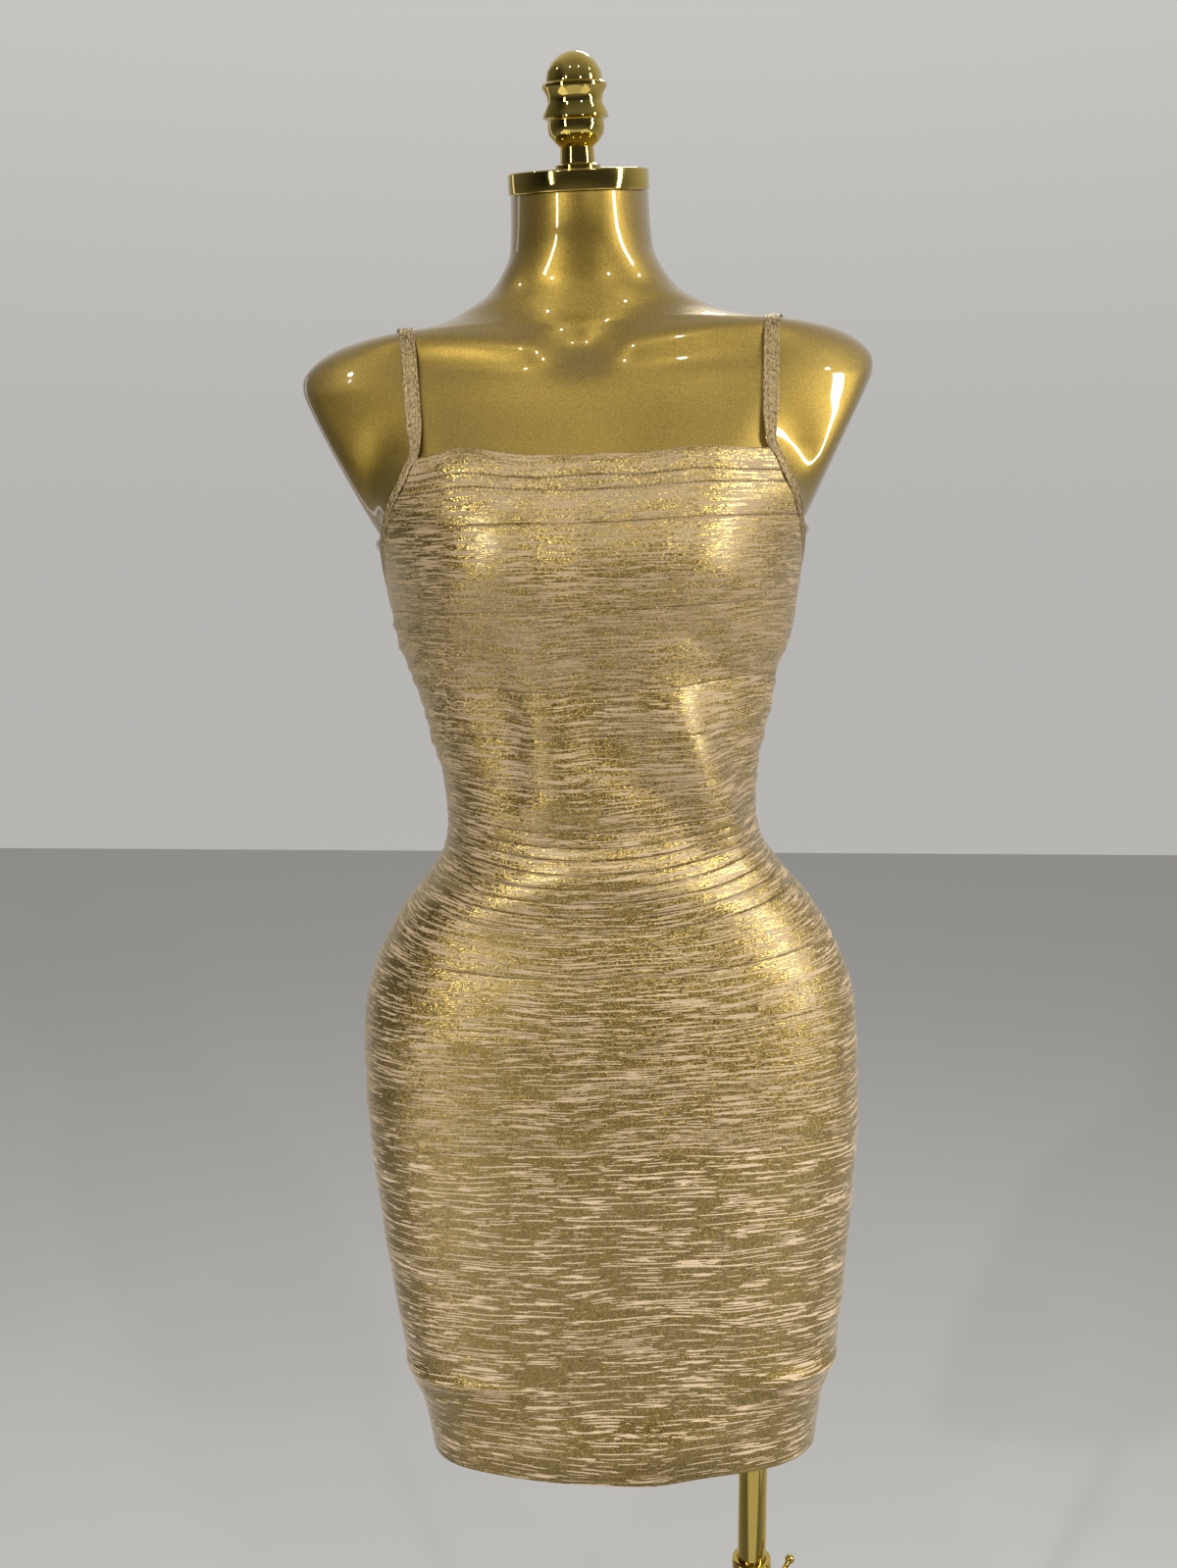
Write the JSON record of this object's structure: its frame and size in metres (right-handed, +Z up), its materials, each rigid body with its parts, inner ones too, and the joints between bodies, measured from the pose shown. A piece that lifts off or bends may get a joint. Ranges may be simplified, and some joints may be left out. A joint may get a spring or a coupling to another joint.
{
  "type": "bandage-knit dress on a dress form",
  "caption": "Close-fitting sleeveless mini dress with a square neck and thin straps, made of streaky gold foil-printed knit strips, worn by a limbless gold dress form on a pole stand.",
  "frame": {"origin": "centre of the base plate's underside, on the floor", "axes": "+Z up, the figure's front faces -Y, its left side is +X"},
  "size_m": [0.3911, 0.34, 1.5812],
  "materials": {
    "foil_knit": "foil-printed rib knit, metallic streaks on a matt yarn",
    "gold_paint": "metallic flake paint under a gloss clear coat",
    "polished_gold": "mirror-polished, gold-plated steel"
  },
  "bodies": {
    "stand": {"base_plate": "polished_gold", "base_socket": "polished_gold", "pole_lower": "polished_gold"},
    "figure": {"form_torso": "gold_paint", "neck_cap": "polished_gold", "finial": "polished_gold", "pole_flange": "polished_gold", "pole_upper": "polished_gold", "front_strip_01": "foil_knit", "back_strip_01": "foil_knit", "front_strip_02": "foil_knit", "back_strip_02": "foil_knit", "front_strip_03": "foil_knit", "back_strip_03": "foil_knit", "front_strip_04": "foil_knit", "back_strip_04": "foil_knit", "front_strip_05": "foil_knit", "back_strip_05": "foil_knit", "front_strip_06": "foil_knit", "back_strip_06": "foil_knit", "front_strip_07": "foil_knit", "back_strip_07": "foil_knit", "front_strip_08": "foil_knit", "back_strip_08": "foil_knit", "front_strip_09": "foil_knit", "back_strip_09": "foil_knit", "front_strip_10": "foil_knit", "back_strip_10": "foil_knit", "front_strip_11": "foil_knit", "back_strip_11": "foil_knit", "front_strip_12": "foil_knit", "back_strip_12": "foil_knit", "front_strip_13": "foil_knit", "back_strip_13": "foil_knit", "front_strip_14": "foil_knit", "back_strip_14": "foil_knit", "front_strip_15": "foil_knit", "back_strip_15": "foil_knit", "front_strip_16": "foil_knit", "back_strip_16": "foil_knit", "front_strip_17": "foil_knit", "back_strip_17": "foil_knit", "front_strip_18": "foil_knit", "back_strip_18": "foil_knit", "front_strip_19": "foil_knit", "back_strip_19": "foil_knit", "front_strip_20": "foil_knit", "back_strip_20": "foil_knit", "front_strip_21": "foil_knit", "back_strip_21": "foil_knit", "front_strip_22": "foil_knit", "back_strip_22": "foil_knit", "front_strip_23": "foil_knit", "back_strip_23": "foil_knit", "front_strip_24": "foil_knit", "back_strip_24": "foil_knit", "strap_right": "foil_knit", "strap_left": "foil_knit"},
    "lock": {"lock_screw": "polished_gold"}
  },
  "joints": [
    {"name": "figure_height", "type": "slide", "parent": "stand", "child": "figure", "axis": [0, 0, 1], "range_m": [-0.06, 0.2]},
    {"name": "lock_turn", "type": "hinge", "parent": "stand", "child": "lock", "pos_m": [0.09, 0, 0.531], "axis": [0.766, -0.6428, 0], "continuous": true}
  ]
}
